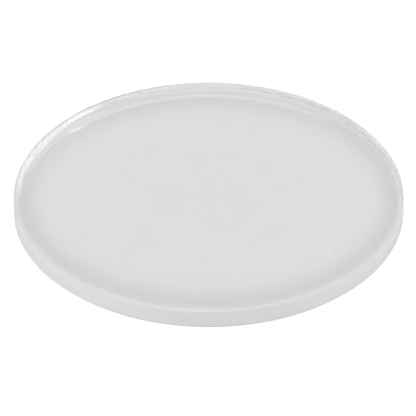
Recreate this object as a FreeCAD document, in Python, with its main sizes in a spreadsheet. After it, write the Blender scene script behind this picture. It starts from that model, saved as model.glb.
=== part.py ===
import FreeCAD, Part
import os
import Sketcher

# Laser protective window: one round disc of clear fused silica. It is cored and ground to its
# diameter, bevelled at both rims, then polished flat and parallel on both faces.
# The disc lies flat. Z is its optical axis, and the origin is the centre of its lower face.

# Driving dimensions in millimetres: alias, value, what it measures.
DRIVING_SIZES = (
    ("rim_diameter", 36.0, "diameter of the ground cylindrical rim"),
    ("disc_thickness", 2.0, "distance between the two polished faces"),
    ("upper_bevel", 0.2, "leg of the 45 degree safety bevel round the upper face"),
    ("lower_bevel", 0.2, "leg of the 45 degree safety bevel round the lower face"),
)
PARTS_FOLDER = "parts"
SEAT_LEVEL = 0.0  # height of the lower face, which the disc rests on
LEVEL_TOLERANCE = 1e-6


def make_size_sheet(doc):
    """A sheet with one row for each driving dimension: note, value and alias."""
    sheet = doc.addObject("Spreadsheet::Sheet", "sizes")
    for row, (alias, value, note) in enumerate(DRIVING_SIZES, start=1):
        sheet.set(f"A{row}", note)
        sheet.set(f"B{row}", str(value))
        sheet.setAlias(f"B{row}", alias)
    doc.recompute()
    return sheet


def origin_plane(body, role):
    """One of the body's own origin planes, found by its role."""
    return next(feature for feature in body.Origin.OriginFeatures if feature.Role == role)


def draw_rim_circle(body, sheet):
    """The rim as one circle about the optical axis, drawn on the plane of the lower face."""
    sketch = body.newObject("Sketcher::SketchObject", "rim_outline")
    sketch.AttachmentSupport = (origin_plane(body, "XY_Plane"), [""])
    sketch.MapMode = "FlatFace"
    centre = FreeCAD.Vector(0, 0, 0)
    up = FreeCAD.Vector(0, 0, 1)
    rim = sketch.addGeometry(Part.Circle(centre, up, sheet.rim_diameter / 2), False)
    # A sketch names a point by its curve and its role there: role 3 is the circle's centre, and
    # role 1 of curve -1 is the sketch's own origin.
    circle_centre = (rim, 3)
    sketch_origin = (-1, 1)
    sketch.addConstraint(Sketcher.Constraint("Coincident", *circle_centre, *sketch_origin))
    size = sketch.addConstraint(Sketcher.Constraint("Diameter", rim, sheet.rim_diameter))
    sketch.renameConstraint(size, "rim")
    sketch.setExpression("Constraints.rim", "sizes.rim_diameter")
    return sketch


def pad_blank(body, sketch):
    """The plane-parallel blank, from the lower face up to the upper one."""
    blank = body.newObject("PartDesign::Pad", "blank")
    blank.Profile = sketch
    blank.setExpression("Length", "sizes.disc_thickness")
    return blank


def rim_edge_names(shape, level):
    """Names of the circular edges that lie wholly at one height."""
    names = []
    for number, edge in enumerate(shape.Edges, start=1):
        box = edge.BoundBox
        if max(abs(box.ZMin - level), abs(box.ZMax - level)) < LEVEL_TOLERANCE:
            names.append(f"Edge{number}")
    return names


def grind_bevel(body, base, name, level, size):
    """A 45 degree safety bevel on the rim edge at one height."""
    bevel = body.newObject("PartDesign::Chamfer", name)
    bevel.Base = (base, rim_edge_names(base.Shape, level))
    bevel.setExpression("Size", f"sizes.{size}")
    return bevel


def make_protective_window(doc, sheet):
    """The whole window: rim circle, blank, then one bevel for each rim."""
    body = doc.addObject("PartDesign::Body", "protective_window")
    body.Label = "protective_window"
    blank = pad_blank(body, draw_rim_circle(body, sheet))
    doc.recompute()
    upper = grind_bevel(body, blank, "upper_rim_bevel", sheet.disc_thickness, "upper_bevel")
    doc.recompute()
    grind_bevel(body, upper, "lower_rim_bevel", SEAT_LEVEL, "lower_bevel")
    doc.recompute()
    return body


def check_document(doc):
    """Stops the build if any object failed to recompute."""
    for item in doc.Objects:
        if {"Invalid", "Error"} & set(item.State):
            raise RuntimeError(f"{item.Name} didn't compute: {item.State}")


def write_step(body):
    """Writes the finished piece after testing that it is one sound solid."""
    shape = body.Shape
    if shape.isNull() or not shape.isValid() or len(shape.Solids) != 1:
        raise RuntimeError(f"{body.Label} isn't one valid solid")
    path = os.path.join(PARTS_FOLDER, f"{body.Label}.step")
    shape.exportStep(path)
    box = shape.BoundBox
    print(f"{path}: {box.XLength:.3f} x {box.YLength:.3f} x {box.ZLength:.3f} mm, "
          f"{shape.Volume:.3f} mm3, {len(shape.Faces)} faces")


def main():
    os.makedirs(PARTS_FOLDER, exist_ok=True)
    doc = FreeCAD.newDocument("laser_protective_window")
    sheet = make_size_sheet(doc)
    body = make_protective_window(doc, sheet)
    check_document(doc)
    write_step(body)


main()
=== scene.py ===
# Laser protective window: a thin disc of clear fused silica with two polished and coated faces,
# a fine-ground rim and two safety bevels, lying on a white table under soft studio light.
# Lengths are in metres, except where a name ends in Mm or Um, and angles are in degrees.
# An azimuth is counted from +X towards +Y, and the camera's own from -Y.

import math

import bpy
import numpy as np
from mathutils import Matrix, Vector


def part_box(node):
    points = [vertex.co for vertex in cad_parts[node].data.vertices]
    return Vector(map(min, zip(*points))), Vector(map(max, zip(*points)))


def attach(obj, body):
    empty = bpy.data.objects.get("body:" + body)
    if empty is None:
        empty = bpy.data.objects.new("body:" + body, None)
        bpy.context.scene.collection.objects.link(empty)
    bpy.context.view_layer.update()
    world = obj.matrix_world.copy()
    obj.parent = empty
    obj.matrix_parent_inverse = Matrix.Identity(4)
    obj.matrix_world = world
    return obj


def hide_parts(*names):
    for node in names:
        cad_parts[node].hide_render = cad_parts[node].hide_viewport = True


mm = 0.001
um = 0.000001

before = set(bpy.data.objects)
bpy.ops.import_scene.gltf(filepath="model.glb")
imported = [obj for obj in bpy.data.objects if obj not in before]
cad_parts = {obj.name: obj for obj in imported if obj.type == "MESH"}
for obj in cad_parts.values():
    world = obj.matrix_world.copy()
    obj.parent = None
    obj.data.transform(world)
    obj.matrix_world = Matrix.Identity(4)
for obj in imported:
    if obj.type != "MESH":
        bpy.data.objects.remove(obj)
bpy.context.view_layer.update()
nodeLow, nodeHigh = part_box("protective_window")
print("frame loaded:", sorted(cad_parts))

discRadius = (nodeHigh.x - nodeLow.x) / 2
discThickness = nodeHigh.z - nodeLow.z

# camera
photoView = {
    "elevation": 36.1,  # above the table
    "azimuth": 0.0,
    "lensMm": 800.0,
    "sensorMm": 36.0,
    "pictureSize": 416,  # pixels a side
    "pixelsPerMm": 10.833,  # at the disc
    "discRight": 0.7,  # pixels from the picture's centre to the disc's
    "discUp": 5.33,
    "clipNear": 0.1,  # as a share of the camera's distance
    "clipFar": 10.0,
}


def makeCamera():
    # Distance = lens * width seen / sensor width, so that the disc has its size in the picture.
    # The camera backs off by that along its own line of sight, which passes beside the disc's
    # middle by the two offsets.
    elevation = math.radians(photoView["elevation"])
    azimuth = math.radians(photoView["azimuth"])
    back = np.array([math.sin(azimuth) * math.cos(elevation),
                     -math.cos(azimuth) * math.cos(elevation),
                     math.sin(elevation)])
    right = np.array([math.cos(azimuth), math.sin(azimuth), 0.0])
    up = np.cross(back, right)
    pixel = mm / photoView["pixelsPerMm"]
    seenWidth = photoView["pictureSize"] * pixel
    distance = photoView["lensMm"] * seenWidth / photoView["sensorMm"]
    middle = np.array([0.0, 0.0, discThickness / 2])
    target = middle - right * photoView["discRight"] * pixel - up * photoView["discUp"] * pixel
    data = bpy.data.cameras.new("photoCamera")
    data.lens = photoView["lensMm"]
    data.sensor_width = photoView["sensorMm"]
    data.clip_start = distance * photoView["clipNear"]
    data.clip_end = distance * photoView["clipFar"]
    camera = bpy.data.objects.new("photoCamera", data)
    bpy.context.scene.collection.objects.link(camera)
    camera.location = target + back * distance
    camera.rotation_euler = (math.pi / 2 - elevation, 0.0, azimuth)
    bpy.context.scene.camera = camera


makeCamera()
print("camera placed")

# steps that the materials share
glassIndex = 1.458  # refractive index of fused silica in yellow light


def newMaterial(name):
    # An empty glass material: its node tree and its shader.
    material = bpy.data.materials.new(name)
    material.use_nodes = True
    tree = material.node_tree
    shader = tree.nodes["Principled BSDF"]
    shader.inputs["IOR"].default_value = glassIndex
    return material, tree, shader


def feed(tree, socket, value):
    # A socket takes a plain number, or the output of another node.
    if hasattr(value, "is_linked"):
        tree.links.new(value, socket)
    else:
        socket.default_value = value


def maths(tree, operation, *values):
    # One step of arithmetic on numbers or node outputs.
    node = tree.nodes.new("ShaderNodeMath")
    node.operation = operation
    for socket, value in zip(node.inputs, values):
        feed(tree, socket, value)
    return node.outputs[0]


def grain(tree, pattern):
    # Noise from 0 to 1 on the piece's own coordinates, scaled along X, Y and Z.
    place = tree.nodes.new("ShaderNodeTexCoord")
    mapping = tree.nodes.new("ShaderNodeMapping")
    mapping.inputs["Scale"].default_value = pattern["scale"]
    noise = tree.nodes.new("ShaderNodeTexNoise")
    noise.inputs["Scale"].default_value = 1.0
    noise.inputs["Detail"].default_value = pattern["detail"]
    noise.inputs["Roughness"].default_value = pattern["roughness"]
    tree.links.new(place.outputs["Object"], mapping.inputs["Vector"])
    tree.links.new(mapping.outputs[0], noise.inputs["Vector"])
    return noise.outputs[0]


def objectAxes(tree):
    # The piece's own x, y and z.
    place = tree.nodes.new("ShaderNodeTexCoord")
    split = tree.nodes.new("ShaderNodeSeparateXYZ")
    tree.links.new(place.outputs["Object"], split.inputs[0])
    return split.outputs[0], split.outputs[1], split.outputs[2]


def turned(tree, x, y, azimuth):
    # The place along an azimuth a, x cos a + y sin a, and to its left, y cos a - x sin a.
    a = math.radians(azimuth)
    along = maths(tree, "MULTIPLY_ADD", x, math.cos(a), maths(tree, "MULTIPLY", y, math.sin(a)))
    aside = maths(tree, "MULTIPLY_ADD", y, math.cos(a), maths(tree, "MULTIPLY", x, -math.sin(a)))
    return along, aside


def fade(tree, value, low, high):
    # A smooth step: 0 where the value is at low, 1 where it is at high.
    step = tree.nodes.new("ShaderNodeMapRange")
    step.interpolation_type = "SMOOTHSTEP"
    feed(tree, step.inputs["Value"], value)
    step.inputs["From Min"].default_value = low
    step.inputs["From Max"].default_value = high
    return step.outputs[0]


def blendColours(tree, share, first, second):
    # The first colour where share is 0, the second where it is 1.
    mix = tree.nodes.new("ShaderNodeMix")
    mix.data_type = "RGBA"
    feed(tree, mix.inputs[0], share)
    feed(tree, mix.inputs[6], first)
    feed(tree, mix.inputs[7], second)
    return mix.outputs[2]


# the coated faces
coating = {
    "clearTint": (0.691, 0.691, 0.699, 1),  # inside the clear aperture
    "shadowBandTint": (0.586, 0.586, 0.601, 1),  # painted shadow of the rim on the table, darkest near the rim
    "bandMm": 0.66,  # from the rim to the darkest line, along X
    "innerFadeMm": 1.48,
    "outerFadeMm": 0.35,
    "stretch": 0.62,  # the band is wider along Y by this share
    "litPatchTint": (0.96, 0.96, 0.97, 1),  # painted light near the rim, in patches
    "litLowerInMm": 0.37,  # a patch lies this much nearer the middle on the lower face
    # each patch of painted light: its azimuth, how far from there it is gone and full, its
    # strength on the two faces, and the radii where it starts, is full, starts to end and ends
    "litPatches": [
        {"azimuth": 143.0, "none": 20.0, "full": 10.0, "upper": 1.0, "lower": 0.0,
         "radiiMm": (16.85, 17.1, 17.37, 17.6)},
        {"azimuth": 158.0, "none": 12.0, "full": 6.0, "upper": 1.0, "lower": 0.0,
         "radiiMm": (17.05, 17.3, 17.62, 17.78)},
        {"azimuth": 168.0, "none": 15.0, "full": 7.0, "upper": 1.0, "lower": 0.0,
         "radiiMm": (17.2, 17.47, 17.75, 17.95)},
        {"azimuth": 100.0, "none": 24.0, "full": 16.0, "upper": 0.35, "lower": 0.0,
         "radiiMm": (16.9, 17.2, 17.37, 17.6)},
        {"azimuth": 98.0, "none": 52.0, "full": 38.0, "upper": 0.0, "lower": 0.34,
         "radiiMm": (16.95, 17.25, 17.5, 17.75)},
        {"azimuth": 142.0, "none": 28.0, "full": 14.0, "upper": 0.0, "lower": 0.34,
         "radiiMm": (17.3, 17.55, 17.9, 18.1)},
        {"azimuth": 20.0, "none": 20.0, "full": 6.0, "upper": 0.6, "lower": 0.0,
         "radiiMm": (17.3, 17.6, 17.75, 17.9)},
    ],
    # a painted dark line of shade along the edge of the upper face, at the back left: the radii
    # where it starts and is full
    "edge": {"tint": (0.55, 0.55, 0.57, 1), "azimuth": 130.0, "none": 29.0, "full": 18.0,
             "radiiMm": (17.45, 17.6)},
    # a small pale streak on the lower face, a painted highlight, across the direction of its
    # azimuth
    "glintStreak": {"tint": (0.90, 0.90, 0.91, 1), "azimuth": 126.0, "outMm": 16.64, "asideMm": 3.30,
               "halfLengthMm": 1.3, "halfWidthMm": 0.26, "none": 1.5},
    # dust on the upper face
    "specks": [
        {"xMm": 10.94, "yMm": -0.55, "halfMm": 0.18, "tint": (0.75, 0.75, 0.75, 1)},
        {"xMm": 5.72, "yMm": -8.31, "halfMm": 0.18, "tint": (0.75, 0.75, 0.75, 1)},
        {"xMm": 10.96, "yMm": -9.10, "halfMm": 0.20, "tint": (0.74, 0.74, 0.75, 1)},
        {"xMm": 13.88, "yMm": 4.05, "halfMm": 0.18, "tint": (0.60, 0.60, 0.61, 1)},
    ],
    "speckNone": 1.6,  # where a speck is gone and full, as shares of its half size squared
    "speckFull": 0.3,
}


def shadowBandShare(tree, r, sine):
    # The painted shadow band, the rim's shadow on the table seen through the glass: with the
    # radius r and the squared sine of the angle about the optical axis, the depth from the rim is
    # u = (disc radius - r) / (1 + stretch * sine), and the band's strength is exp(-((u - band) /
    # fade)^2), with one fade inwards and another outwards.
    wider = maths(tree, "MULTIPLY_ADD", sine, coating["stretch"], 1.0)
    fromRim = maths(tree, "SUBTRACT", discRadius, r)
    u = maths(tree, "SUBTRACT", maths(tree, "DIVIDE", fromRim, wider), coating["bandMm"] * mm)
    inner = maths(tree, "DIVIDE", maths(tree, "MAXIMUM", u, 0.0), coating["innerFadeMm"] * mm)
    outer = maths(tree, "DIVIDE", maths(tree, "MINIMUM", u, 0.0), coating["outerFadeMm"] * mm)
    g = maths(tree, "ADD", inner, outer)
    return maths(tree, "EXPONENT", maths(tree, "MULTIPLY", maths(tree, "MULTIPLY", g, g), -1.0))


def azimuthShare(tree, x, y, r, stretch):
    # 1 in the middle of a stretch, 0 beyond its ends: it fades with the cosine of the angle
    # from the middle's azimuth b, which is (x cos b + y sin b) / r.
    facing = turned(tree, x, y, stretch["azimuth"])[0]
    none, full = (math.cos(math.radians(stretch[k])) for k in ("none", "full"))
    return fade(tree, maths(tree, "DIVIDE", facing, r), none, full)


def litPatchShare(tree, x, y, r, above):
    # The strongest of the patches of painted light. Each one's strength is azimuth share * face
    # share * radius share, and on the lower face the radius counts as larger than it is by the
    # shift inwards given above.
    inwards = coating["litLowerInMm"] * mm
    reach = maths(tree, "MULTIPLY_ADD", above, -inwards, maths(tree, "ADD", r, inwards))
    lit = 0.0
    for litPatch in coating["litPatches"]:
        here = azimuthShare(tree, x, y, r, litPatch)
        face = maths(tree, "MULTIPLY_ADD", above, litPatch["upper"] - litPatch["lower"], litPatch["lower"])
        here = maths(tree, "MULTIPLY", here, face)
        starts, full, leaves, stops = (v * mm for v in litPatch["radiiMm"])
        here = maths(tree, "MULTIPLY", here, fade(tree, reach, starts, full))
        here = maths(tree, "MULTIPLY", here, fade(tree, reach, stops, leaves))
        lit = maths(tree, "MAXIMUM", here, lit)
    return lit


def edgeShare(tree, x, y, r, above):
    # 1 on the painted dark line of shade along the upper face's edge, 0 elsewhere.
    edge = coating["edge"]
    starts, full = (v * mm for v in edge["radiiMm"])
    line = maths(tree, "MULTIPLY", azimuthShare(tree, x, y, r, edge),
                 fade(tree, r, starts, full))
    return maths(tree, "MULTIPLY", line, above)


def glintStreakShare(tree, x, y, z):
    # An ellipse of painted highlight on the lower face: 1 in its middle, and 0 where (across /
    # half width)^2 + (along / half length)^2 reaches the value of none.
    glintStreak = coating["glintStreak"]
    facing, aside = turned(tree, x, y, glintStreak["azimuth"])
    across = maths(tree, "SUBTRACT", facing, glintStreak["outMm"] * mm)
    across = maths(tree, "DIVIDE", across, glintStreak["halfWidthMm"] * mm)
    along = maths(tree, "SUBTRACT", aside, glintStreak["asideMm"] * mm)
    along = maths(tree, "DIVIDE", along, glintStreak["halfLengthMm"] * mm)
    away = maths(tree, "MULTIPLY_ADD", across, across, maths(tree, "MULTIPLY", along, along))
    below = maths(tree, "LESS_THAN", z, discThickness / 2)
    return maths(tree, "MULTIPLY", fade(tree, away, glintStreak["none"], 0.0), below)


def speckShare(tree, x, y, above, speck):
    # A round on the upper face that fades with (x - x0)^2 + (y - y0)^2.
    dx = maths(tree, "SUBTRACT", x, speck["xMm"] * mm)
    dy = maths(tree, "SUBTRACT", y, speck["yMm"] * mm)
    away = maths(tree, "MULTIPLY_ADD", dx, dx, maths(tree, "MULTIPLY", dy, dy))
    half = (speck["halfMm"] * mm) ** 2
    dust = fade(tree, away, half * coating["speckNone"], half * coating["speckFull"])
    return maths(tree, "MULTIPLY", dust, above)


def makePolishedSilica():
    # Clear glass that the coating tints, with painted light and shade laid over it: the painted
    # shadow band, the patches of painted light, the painted dark edge line, the painted highlight
    # streak and then the dust are laid over each other in this order.
    material, tree, shader = newMaterial("polishedSilica")
    x, y, z = objectAxes(tree)
    yy = maths(tree, "MULTIPLY", y, y)
    rr = maths(tree, "MULTIPLY_ADD", x, x, yy)
    r = maths(tree, "SQRT", rr)
    above = maths(tree, "GREATER_THAN", z, discThickness / 2)
    shadowBand = shadowBandShare(tree, r, maths(tree, "DIVIDE", yy, rr))
    tint = blendColours(tree, shadowBand, coating["clearTint"], coating["shadowBandTint"])
    tint = blendColours(tree, litPatchShare(tree, x, y, r, above), tint, coating["litPatchTint"])
    tint = blendColours(tree, edgeShare(tree, x, y, r, above), tint, coating["edge"]["tint"])
    tint = blendColours(tree, glintStreakShare(tree, x, y, z), tint, coating["glintStreak"]["tint"])
    for speck in coating["specks"]:
        tint = blendColours(tree, speckShare(tree, x, y, above, speck), tint, speck["tint"])
    tree.links.new(tint, shader.inputs["Base Color"])
    shader.inputs["Roughness"].default_value = 0.0
    shader.inputs["Transmission Weight"].default_value = 1.0
    return material


# the ground rim and bevels
ground = {
    "rim": {"dark": (0.92, 0.92, 0.945, 1), "pale": (0.96, 0.96, 0.985, 1), "roughness": 0.77,
            "footShade": 0.12, "topShade": 0.0},
    # the bevel is the same ground glass as the rim; its darker colours are painted shade
    "bevel": {"dark": (0.84, 0.84, 0.86, 1), "pale": (0.88, 0.88, 0.90, 1), "roughness": 0.66,
              "footShade": 0.16, "topShade": 0.16},
    "shadeColour": (0, 0, 0, 1),
    "sideRoughness": 0.22,  # more at the ends of X, where the wheel ran in and out
    "roughnessSpread": 0.1,  # between a dark and a pale line
    "grainUm": 0.7,  # depth of the grain
    "passedFromOutside": 0.22,  # share of the light that is scattered through, not back
    "passedFromInside": 1.0,
    "specular": 0.25,  # half of polished glass: the grain shades itself
    # scales are in cells a metre, and a share is the pattern's part of the bump
    "powder": {"scale": (7000.0, 7000.0, 9000.0), "detail": 3.0, "roughness": 0.6,
               "share": 0.1},
    # the wheel's lines are long along the circumference and thin in height
    "lines": {"scale": (150.0, 150.0, 2500.0), "detail": 2.0, "roughness": 0.5, "share": 0.9},
}
# a stretch at the back left that is ground coarser and painted paler as a painted highlight: it
# climbs from the lower face on the left to the upper one at the back
coarseAndLit = {
    # paler than the rim: painted highlight
    "colour": (1.0, 1.0, 1.0, 1),
    "roughness": 0.35,  # on top of the rim's
    "heightMm": 1.2,  # of its middle at X = 0
    "raggedMm": 0.4,  # how far the lines move the middle
    "climb": 0.055,
    "widening": 0.05,  # half its height, as a share of the way to the left
    "leastHalfMm": 0.3,
    "none": 1.4,  # where it is gone and full, in half heights from the middle
    "full": 0.6,
    "fromXMm": -6.0,
    "fullXMm": -18.0,
    "fromYMm": 1.0,
    "fullYMm": 6.0,
}
# a bruise in the rim, at the back left, with a ragged outline, painted bright as a painted glint
glintBruise = {"azimuth": 133.0, "heightMm": 0.6, "halfWidthMm": 1.2, "halfHeightMm": 0.5,
          "ragged": 0.8, "none": 1.5, "full": 1.1}


def coarseAndLitShare(tree, lines):
    # 1 on the coarser stretch and its painted highlight, 0 elsewhere: its middle height is height
    # + climb * x, it fades with the distance from that, and with x and y, and the lines make its
    # edge ragged.
    x, y, z = objectAxes(tree)
    height = (coarseAndLit["heightMm"] - coarseAndLit["raggedMm"] / 2) * mm
    middle = maths(tree, "MULTIPLY_ADD", x, coarseAndLit["climb"], height)
    middle = maths(tree, "MULTIPLY_ADD", lines, coarseAndLit["raggedMm"] * mm, middle)
    away = maths(tree, "ABSOLUTE", maths(tree, "SUBTRACT", z, middle))
    half = maths(tree, "MULTIPLY", x, -coarseAndLit["widening"])
    half = maths(tree, "MAXIMUM", half, coarseAndLit["leastHalfMm"] * mm)
    near = fade(tree, maths(tree, "DIVIDE", away, half), coarseAndLit["none"], coarseAndLit["full"])
    left = fade(tree, x, coarseAndLit["fromXMm"] * mm, coarseAndLit["fullXMm"] * mm)
    back = fade(tree, y, coarseAndLit["fromYMm"] * mm, coarseAndLit["fullYMm"] * mm)
    return maths(tree, "MULTIPLY", near, maths(tree, "MULTIPLY", left, back))


def glintBruiseShare(tree, powder):
    # 1 inside the bruise and its painted glint, 0 outside: with the place t along the rim from
    # its middle and z up, it fades with (t / half width)^2 + ((z - height) / half height)^2 +
    # ragged * powder, and the far side of the disc doesn't count.
    x, y, z = objectAxes(tree)
    facing, aside = turned(tree, x, y, glintBruise["azimuth"])
    along = maths(tree, "DIVIDE", aside, glintBruise["halfWidthMm"] * mm)
    up = maths(tree, "DIVIDE", maths(tree, "SUBTRACT", z, glintBruise["heightMm"] * mm),
               glintBruise["halfHeightMm"] * mm)
    away = maths(tree, "MULTIPLY_ADD", along, along, maths(tree, "MULTIPLY", up, up))
    away = maths(tree, "MULTIPLY_ADD", powder, glintBruise["ragged"], away)
    here = maths(tree, "GREATER_THAN", facing, 0.0)
    return maths(tree, "MULTIPLY", fade(tree, away, glintBruise["none"], glintBruise["full"]), here)


def makeGroundSilica(name, finish):
    # Fine grain from the grinding powder and lines from the wheel, both as a bump, and the
    # lines as a slight change of colour and roughness too. Light that meets the ground surface
    # from inside the glass passes it more than light from outside.
    material, tree, shader = newMaterial(name)
    powder = grain(tree, ground["powder"])
    lines = grain(tree, ground["lines"])
    both = maths(tree, "MULTIPLY_ADD", lines, ground["lines"]["share"],
                 maths(tree, "MULTIPLY", powder, ground["powder"]["share"]))
    coarserAndLit = maths(tree, "MAXIMUM", coarseAndLitShare(tree, lines), glintBruiseShare(tree, powder))
    bump = tree.nodes.new("ShaderNodeBump")
    bump.inputs["Strength"].default_value = 1.0
    bump.inputs["Distance"].default_value = ground["grainUm"] * um
    tree.links.new(both, bump.inputs["Height"])
    tree.links.new(bump.outputs[0], shader.inputs["Normal"])
    colour = blendColours(tree, lines, finish["dark"], finish["pale"])
    # The coarser stretch and the bruise get the paler colour: painted highlight.
    colour = blendColours(tree, coarserAndLit, colour, coarseAndLit["colour"])
    # The ends of X are darker by a share that grows with (x / R)^2 and goes from footShade at
    # the lower face to topShade at the upper one.
    x, y, z = objectAxes(tree)
    side = maths(tree, "MULTIPLY", maths(tree, "MULTIPLY", x, x), 1 / discRadius ** 2)
    slope = (finish["topShade"] - finish["footShade"]) / discThickness
    shade = maths(tree, "MULTIPLY_ADD", z, slope, finish["footShade"])
    shade = maths(tree, "MULTIPLY", side, shade)
    colour = blendColours(tree, shade, colour, ground["shadeColour"])
    tree.links.new(colour, shader.inputs["Base Color"])
    spread = ground["roughnessSpread"]
    rough = maths(tree, "MULTIPLY_ADD", lines, spread, finish["roughness"] - spread / 2)
    rough = maths(tree, "MULTIPLY_ADD", side, ground["sideRoughness"], rough)
    rough = maths(tree, "MULTIPLY_ADD", coarserAndLit, coarseAndLit["roughness"], rough)
    tree.links.new(rough, shader.inputs["Roughness"])
    geometry = tree.nodes.new("ShaderNodeNewGeometry")
    more = ground["passedFromInside"] - ground["passedFromOutside"]
    passed = maths(tree, "MULTIPLY_ADD", geometry.outputs["Backfacing"], more,
                   ground["passedFromOutside"])
    tree.links.new(passed, shader.inputs["Transmission Weight"])
    shader.inputs["Specular IOR Level"].default_value = ground["specular"]
    return material


# the window
window = {
    "segments": 720,
    "bevelMm": 0.2,
    "arrisMm": 0.02,  # rounding of the four rim edges
    "arrisSteps": 4,
    "wallRings": 13,
    "bevelRings": 4,
    "faceRings": 8,
    "faceReach": 0.97,  # the outermost of them, as a share of the face's radius
}
faceSlot, rimSlot, bevelSlot = 0, 1, 2


def roundedCorner(before, corner, after, radius, steps):
    # An arc tangent to both sides of a corner: its middle lies on the corner's bisector at
    # radius / sin(half the corner's angle), and its points follow at equal angles.
    before, corner, after = (np.array(p, float) for p in (before, corner, after))
    a = (before - corner) / np.linalg.norm(before - corner)
    b = (after - corner) / np.linalg.norm(after - corner)
    half = math.acos(float(a @ b)) / 2
    reach = radius / math.tan(half)
    middle = corner + (a + b) / np.linalg.norm(a + b) * radius / math.sin(half)
    start = corner + a * reach - middle
    end = corner + b * reach - middle
    turn = math.atan2(start[0] * end[1] - start[1] * end[0], float(start @ end))
    t = np.linspace(0, turn, steps + 1)[:, None]
    across = np.array([-start[1], start[0]])
    return middle + np.cos(t) * start + np.sin(t) * across


def between(a, b, count):
    # Points at equal steps inside a straight stretch: a + (b - a) * t.
    t = np.linspace(0, 1, count + 2)[1:-1, None]
    return a + (b - a) * t


def windowProfile():
    # Half section from the lower pole to the upper one, as radius and height: face, bevel,
    # wall, bevel, face, with an arc at each corner. Each point has the slot of the stretch
    # that ends at it, and the next face starts where a bevel ends.
    r, h = discRadius, discThickness
    c = window["bevelMm"] * mm
    corners = [(0, 0), (r - c, 0), (r, c), (r, h - c), (r - c, h), (0, h)]
    arcs = [roundedCorner(corners[i - 1], corners[i], corners[i + 1],
                          window["arrisMm"] * mm, window["arrisSteps"]) for i in range(1, 5)]
    rings = np.linspace(0.0, window["faceReach"], window["faceRings"] + 1)[1:, None]
    lowerFace = np.hstack([rings * arcs[0][0, 0], rings * 0])
    upperFace = np.hstack([rings[::-1] * arcs[3][-1, 0], rings * 0 + h])
    stretches = [
        (lowerFace, faceSlot),
        (arcs[0][:1], faceSlot),
        (arcs[0][1:], bevelSlot),
        (between(arcs[0][-1], arcs[1][0], window["bevelRings"]), bevelSlot),
        (arcs[1], bevelSlot),
        (between(arcs[1][-1], arcs[2][0], window["wallRings"]), rimSlot),
        (arcs[2][:1], rimSlot),
        (arcs[2][1:], bevelSlot),
        (between(arcs[2][-1], arcs[3][0], window["bevelRings"]), bevelSlot),
        (arcs[3], bevelSlot),
        (upperFace, faceSlot),
    ]
    points = np.vstack([s[0] for s in stretches])
    slots = np.concatenate([np.full(len(s[0]), s[1]) for s in stretches])
    return points, slots


def makeWindow():
    # A surface of revolution: each profile point (radius, height) is carried round the optical
    # axis to (radius cos a, radius sin a, height). One vertex closes each pole.
    points, slots = windowProfile()
    segments = window["segments"]
    angle = np.arange(segments) / segments * 2 * np.pi
    rings = len(points)
    x = points[:, :1] * np.cos(angle)
    y = points[:, :1] * np.sin(angle)
    z = np.repeat(points[:, 1:], segments, axis=1)
    body = np.stack([x, y, z], axis=2).reshape(-1, 3)
    poles = np.array([[0, 0, 0], [0, 0, discThickness]])
    vertices = np.vstack([body, poles])
    ring, step = np.meshgrid(np.arange(rings - 1), np.arange(segments), indexing="ij")
    following = (step + 1) % segments
    quads = np.stack([ring * segments + step, ring * segments + following,
                      (ring + 1) * segments + following, (ring + 1) * segments + step],
                     axis=2).reshape(-1, 4)
    lowPole, highPole = rings * segments, rings * segments + 1
    s = np.arange(segments)
    n = (s + 1) % segments
    top = (rings - 1) * segments
    lowFan = np.stack([np.full(segments, lowPole), n, s], axis=1)
    highFan = np.stack([np.full(segments, highPole), top + s, top + n], axis=1)
    mesh = bpy.data.meshes.new("protectiveWindow")
    mesh.from_pydata(vertices, [], quads.tolist() + lowFan.tolist() + highFan.tolist())
    slotOfFace = np.concatenate([np.repeat(slots[1:], segments), np.full(2 * segments, faceSlot)])
    mesh.polygons.foreach_set("material_index", slotOfFace.astype(np.int32))
    mesh.polygons.foreach_set("use_smooth", slotOfFace != faceSlot)
    mesh.update()
    piece = bpy.data.objects.new("window_disc", mesh)
    bpy.context.scene.collection.objects.link(piece)
    mesh.materials.append(makePolishedSilica())
    mesh.materials.append(makeGroundSilica("groundRim", ground["rim"]))
    mesh.materials.append(makeGroundSilica("groundBevel", ground["bevel"]))
    return piece


disc = makeWindow()
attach(disc, "root")
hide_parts("protective_window")
print("window made:", len(disc.data.polygons), "faces")

# table and light
table = {
    "halfSide": 1.5,
    "dropMm": 0.03,  # below the disc
    "colour": (0.45, 0.45, 0.45, 1),
    "glow": 0.74,  # brings the grey to white for the rays that see the background
}
studio = {
    "level": 0.466,  # of the world's even light
    "lampDistance": 1.6,
    "lamps": [
        {"name": "backLamp", "azimuth": 145, "elevation": 18, "size": 0.94, "watts": 4.2},
        {"name": "rearLamp", "azimuth": 32, "elevation": 28, "size": 1.5, "watts": 10.2},
        {"name": "leftLamp", "azimuth": 190, "elevation": 23, "size": 1.2, "watts": 7.3},
        {"name": "rightLamp", "azimuth": -5, "elevation": 18, "size": 0.8, "watts": 3.4},
        {"name": "frontLamp", "azimuth": -90, "elevation": 45, "size": 1.76, "watts": 13.3},
    ],
}


def seenWhite(tree):
    # 1 for rays that should meet the white background: from the camera, a gloss or the glass.
    path = tree.nodes.new("ShaderNodeLightPath")
    first = maths(tree, "MAXIMUM", path.outputs["Is Camera Ray"], path.outputs["Is Glossy Ray"])
    return maths(tree, "MAXIMUM", first, path.outputs["Is Transmission Ray"])


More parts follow.
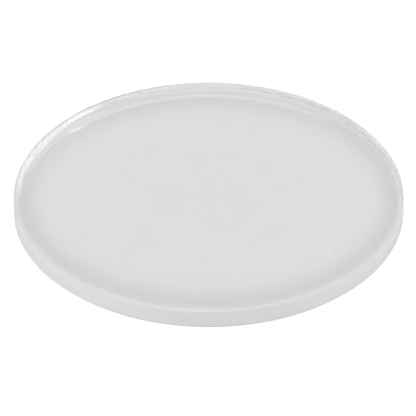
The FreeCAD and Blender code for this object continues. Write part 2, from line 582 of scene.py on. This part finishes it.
def makeTable():
    # A wide square just below the disc. It reflects light evenly, keeps the disc's shadow, and
    # glows for the rays that see the background.
    side = table["halfSide"]
    z = -table["dropMm"] * mm
    mesh = bpy.data.meshes.new("tableTop")
    mesh.from_pydata([(-side, -side, z), (side, -side, z), (side, side, z), (-side, side, z)],
                     [], [(0, 1, 2, 3)])
    floor = bpy.data.objects.new("tableTop", mesh)
    bpy.context.scene.collection.objects.link(floor)
    material = bpy.data.materials.new("tableWhite")
    material.use_nodes = True
    tree = material.node_tree
    shader = tree.nodes["Principled BSDF"]
    shader.inputs["Base Color"].default_value = table["colour"]
    shader.inputs["Roughness"].default_value = 1.0
    shader.inputs["Specular IOR Level"].default_value = 0.0
    shader.inputs["Emission Color"].default_value = (1, 1, 1, 1)
    glow = maths(tree, "MULTIPLY", seenWhite(tree), table["glow"])
    tree.links.new(glow, shader.inputs["Emission Strength"])
    mesh.materials.append(material)


def makeWorld():
    # Even light at the studio's level, and white where the background itself is seen.
    world = bpy.data.worlds.new("studio")
    bpy.context.scene.world = world
    world.use_nodes = True
    tree = world.node_tree
    background = tree.nodes["Background"]
    background.inputs["Color"].default_value = (1, 1, 1, 1)
    level = studio["level"]
    strength = maths(tree, "MULTIPLY_ADD", seenWhite(tree), 1.0 - level, level)
    tree.links.new(strength, background.inputs["Strength"])


def makeLamp(softbox):
    # A square lamp that faces the disc from distance * (cos a cos e, sin a cos e, sin e), with
    # the azimuth a and the elevation e. A mirror reflection shows the white studio instead of
    # the lamp.
    data = bpy.data.lights.new(softbox["name"], "AREA")
    data.shape = "SQUARE"
    data.size = softbox["size"]
    data.energy = softbox["watts"]
    lamp = bpy.data.objects.new(softbox["name"], data)
    bpy.context.scene.collection.objects.link(lamp)
    distance = studio["lampDistance"]
    a, e = math.radians(softbox["azimuth"]), math.radians(softbox["elevation"])
    lamp.location = (distance * math.cos(a) * math.cos(e), distance * math.sin(a) * math.cos(e),
                     distance * math.sin(e))
    lamp.rotation_euler = (math.pi / 2 - e, 0, a + math.pi / 2)
    lamp.visible_glossy = False


makeTable()
makeWorld()
for softbox in studio["lamps"]:
    makeLamp(softbox)
print("table and lamps placed")

bpy.context.scene.view_settings.view_transform = "Standard"
